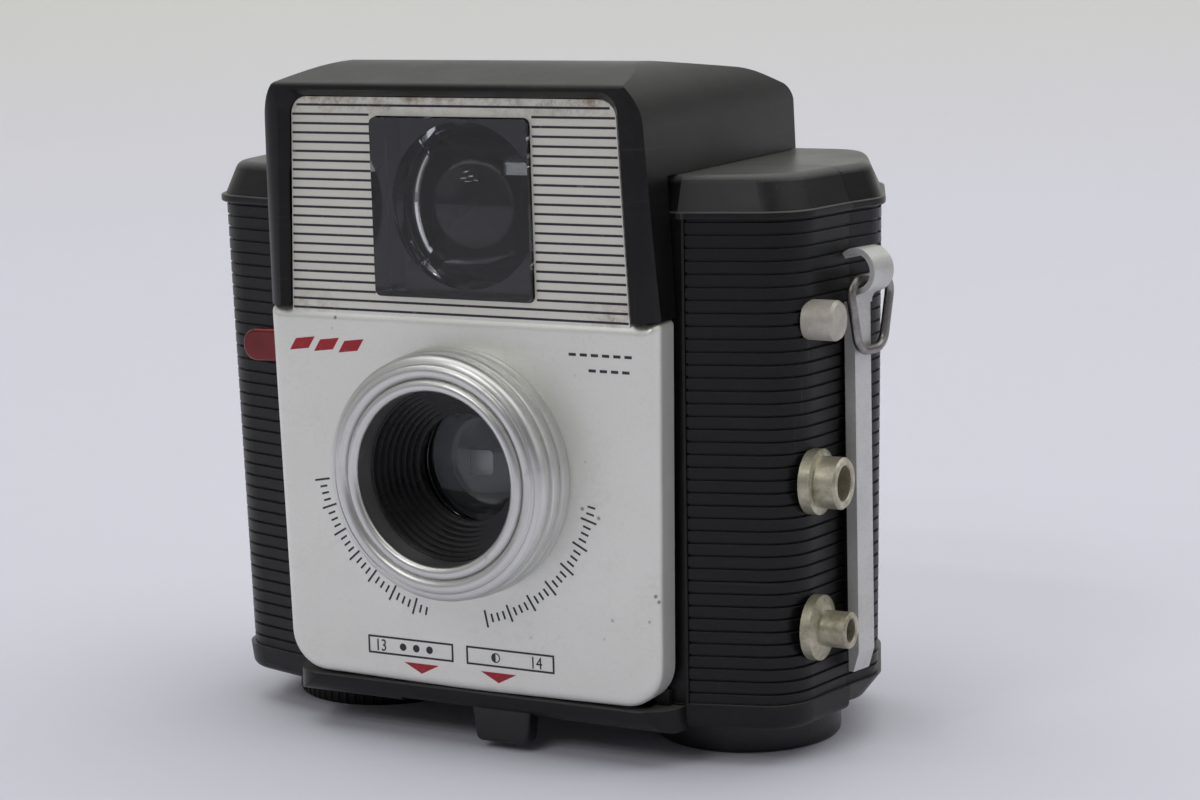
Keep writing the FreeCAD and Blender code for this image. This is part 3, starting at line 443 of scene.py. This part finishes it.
def panel_lines(bm):
    """Level lines on the striped panel, which widens downwards; they stop at the finder window."""
    window_low, window_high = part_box("finder_front_lens")
    gap = 0.45
    window_left = (window_low[0] - AXIS_X) / MM - gap
    window_right = (window_high[0] - AXIS_X) / MM + gap
    half_line = 0.16
    top_line, pitch = 90.62, 1.297
    for i in range(23):
        z = top_line - i * pitch
        reach = 25.45 + (91.75 - z) * 0.0458
        if i == 0:
            reach -= 0.7            # the panel's top corners are rounded
        beside_window = window_low[2] / MM - 0.4 < z < window_high[2] / MM + 0.4
        stretches = [(-reach, window_left), (window_right, reach)] if beside_window else [(-reach, reach)]
        for x0, x1 in stretches:
            bar(bm, x0, x1, z - half_line, z + half_line, PANEL)


def exposure_frames(bm):
    line = 0.27
    for side in (-1, 1):
        x0, x1 = sorted((ART_X + side * 1.07, ART_X + side * 15.2))
        bar(bm, x0, x1, BOX_LOW, BOX_LOW + line)
        bar(bm, x0, x1, BOX_HIGH - line, BOX_HIGH)
        bar(bm, x0, x0 + line, BOX_LOW + line, BOX_HIGH - line)
        bar(bm, x1 - line, x1, BOX_LOW + line, BOX_HIGH - line)


def exposure_arrows(bm):
    """A triangle under each box, one for each of the finger's two stops."""
    half_wide = 2.87
    high, low = 11.95, 10.5
    for tip in (-7.6, 5.0):
        mark(bm, [(tip - half_wide, high), (tip, low), (tip + half_wide, high)])


def film_symbols(bm):
    """Three dots in the left box, and a half-filled moon in the right one."""
    for i in range(3):
        mark(bm, round_points(-10.6 + i * 2.2, SYMBOL_Z, 0.55, 0.0, math.pi / 8, 16))
    moon_x = 4.6
    step = math.pi / 12
    mark(bm, round_points(moon_x, SYMBOL_Z, 0.7, math.pi / 2, step, 13))
    inner, outer = 0.58, 0.72
    for i in range(12):
        start = -math.pi / 2 + i * step
        inside = round_points(moon_x, SYMBOL_Z, inner, start, step, 2)
        outside = round_points(moon_x, SYMBOL_Z, outer, start, step, 2)
        mark(bm, [inside[0], outside[0], outside[1], inside[1]], shrink=THIN_EDGE)


def scale_ticks(bm):
    """Ticks on an arc below the lens, with a gap at its lowest point."""
    arc_radius, arc_z = 22.2, 41.3
    half_wide = 0.14
    for i in range(63):
        degree = -170.0 + i * 2.55
        if -101.5 < degree < -79.5:
            continue
        cosine = math.cos(math.radians(degree))
        sine = math.sin(math.radians(degree))
        half_tall = 1.25 if i % 4 == 0 else 0.6
        corners = []
        for out, aside in ((-1, -1), (1, -1), (1, 1), (-1, 1)):
            along = arc_radius + out * half_tall
            across = aside * half_wide
            corners.append((ART_X + along * cosine - across * sine, arc_z + along * sine + across * cosine))
        mark(bm, corners)


def red_flashes(bm):
    """Three leaning bars in the upper left corner of the pan."""
    wide, lean = 3.2, 1.1
    for i in range(3):
        x = -27.6 + i * 4.1
        mark(bm, [(x, 55.9), (x + wide, 56.3), (x + wide + lean, 58.0), (x + lean, 57.6)])


def corner_dashes(bm):
    """Two rows of dashes in the upper right corner of the pan."""
    dash, pitch, half_line = 1.1, 1.7, 0.2
    for x0, z, count in ((17.7, 57.6, 6), (20.7, 55.5, 4)):
        for i in range(count):
            x = x0 + i * pitch
            bar(bm, x, x + dash, z - half_line, z + half_line)


def digits(name, text, x, z, height, material):
    """A raised number, as a mesh."""
    cap_share = 0.7                 # a capital's height in the font's own size
    curve = bpy.data.curves.new(name + "_text", "FONT")
    curve.body = text
    curve.size = height * MM / cap_share
    curve.extrude = 0.03 * MM
    holder = bpy.data.objects.new(name + "_text", curve)
    bpy.context.scene.collection.objects.link(holder)
    bpy.context.view_layer.update()
    mesh = bpy.data.meshes.new_from_object(holder)
    bpy.data.objects.remove(holder)
    mesh.transform(Matrix.Rotation(math.radians(90), 4, "X"))
    mesh.transform(Matrix.Diagonal((0.82, 1.0, 1.0, 1.0)))
    mesh.transform(Matrix.Translation((x * MM + AXIS_X, FACE - 0.02 * MM, z * MM)))
    mesh.materials.clear()
    return add_piece(name, mesh, "camera", material)


add_marks("panel_lines", panel_lines, "ink")
add_marks("exposure_frames", exposure_frames, "ink")
add_marks("exposure_arrows", exposure_arrows, "red_ink")
digits("number_left", "13", -15.3, DIGIT_Z, DIGIT_TALL, "ink")
digits("number_right", "14", 10.1, DIGIT_Z, DIGIT_TALL, "ink")
add_marks("film_symbols", film_symbols, "ink")
add_marks("scale_ticks", scale_ticks, "ink")
add_marks("red_flashes", red_flashes, "red_ink")
add_marks("corner_dashes", corner_dashes, "ink")


# ---- stage ----
def stage_material():
    """Pale paper, a little bluer on the floor than on the wall."""
    s = Shader("studio_paper")
    floor_to_wall = s.span(s.axis("Z"), 0.0, 0.08)
    colour = s.blend(floor_to_wall, rgb(0.89, 0.89, 0.935), rgb(0.885, 0.885, 0.865))
    faint = s.span(s.noise(3.0, 3.0), 0.3, 0.7, 0.0, 0.06)
    colour = s.blend(faint, colour, rgb(0.78, 0.77, 0.78))
    return s.finish(Base_Color=colour, Roughness=0.85)


def sweep_profile():
    """The paper's side view: a level floor, a quarter round and an upright wall."""
    floor_end, bend, steps = 0.55, 0.5, 12
    points = [(-3.0, 0.0), (floor_end, 0.0)]
    for i in range(1, steps + 1):
        turn = math.radians(90 * i / steps)
        points.append((floor_end + bend * math.sin(turn), bend - bend * math.cos(turn)))
    points.append((floor_end + bend, 3.0))
    return points


SWEEP_TURN = 28.8                   # degrees, so that the wall stands square to the camera
bm = bmesh.new()
half_wide = 4.0
rows = [[bm.verts.new((x, y, z)) for x in (-half_wide, half_wide)] for y, z in sweep_profile()]
for low, high in zip(rows, rows[1:]):
    face = bm.faces.new((low[0], low[1], high[1], high[0]))
    face.smooth = True
sweep_mesh = bpy.data.meshes.new("sweep")
bm.to_mesh(sweep_mesh)
bm.free()
sweep = bpy.data.objects.new("sweep", sweep_mesh)
bpy.context.scene.collection.objects.link(sweep)
sweep.rotation_euler = (0.0, 0.0, math.radians(SWEEP_TURN))
sweep_mesh.materials.append(stage_material())


# ---- camera ----
CAMERA_AZIMUTH = 28.756             # degrees round from the front, towards the object's right
CAMERA_HEIGHT = 10.010              # degrees above the level
CAMERA_ROLL = -1.600                # degrees, about the line of sight
CAMERA_AWAY = 0.3996
target = Vector((AXIS_X + 0.0171, -0.0123, 0.0497))
camera = bpy.data.objects.new("camera", bpy.data.cameras.new("camera"))
bpy.context.scene.collection.objects.link(camera)
camera.data.lens = 87.0
camera.data.sensor_width = 36.0
camera.data.clip_start = 0.01
turn = (
    Matrix.Rotation(math.radians(CAMERA_AZIMUTH), 4, "Z")
    @ Matrix.Rotation(math.radians(90.0 - CAMERA_HEIGHT), 4, "X")
    @ Matrix.Rotation(math.radians(CAMERA_ROLL), 4, "Z")
)
back = turn @ Vector((0.0, 0.0, 1.0))
camera.matrix_world = Matrix.Translation(target + back * CAMERA_AWAY) @ turn
bpy.context.scene.camera = camera


# ---- light ----
def area_light(name, place, aim, width, height, power, colour=(1.0, 1.0, 1.0)):
    light = bpy.data.lights.new(name, "AREA")
    light.shape = "RECTANGLE"
    light.size = width
    light.size_y = height
    light.energy = power
    light.color = colour
    obj = bpy.data.objects.new(name, light)
    bpy.context.scene.collection.objects.link(obj)
    obj.location = place
    obj.rotation_euler = (Vector(aim) - Vector(place)).to_track_quat("-Z", "Y").to_euler()


area_light("overhead", (0.0, 0.45, 1.6), (0.0, 0.1, 0.0), 3.0, 2.6, 30.0, (1.0, 1.0, 0.98))
area_light("left_wall", (-1.6, -1.1, 1.3), (0.0, 0.0, 0.05), 2.4, 2.0, 3.4)
area_light("right_wall", (1.7, 0.1, 1.0), (0.0, 0.0, 0.05), 2.0, 1.6, 4.0, (0.97, 0.98, 1.0))
strip_places = ((-0.55, -1.9), (-0.15, -2.5), (0.3, -3.1), (-0.95, -2.7), (-0.6, -3.4))
for i, (x, y) in enumerate(strip_places):
    area_light("ceiling_%d" % i, (x, y, 2.2), (x, y, 0.0), 0.5, 0.07, 5.0)

world = bpy.data.worlds.new("room")
bpy.context.scene.world = world
world.use_nodes = True
background = world.node_tree.nodes["Background"]
background.inputs["Color"].default_value = (0.80, 0.80, 0.83, 1.0)
background.inputs["Strength"].default_value = 0.19
bpy.context.scene.view_settings.view_transform = "Standard"
bpy.context.scene.view_settings.look = "None"
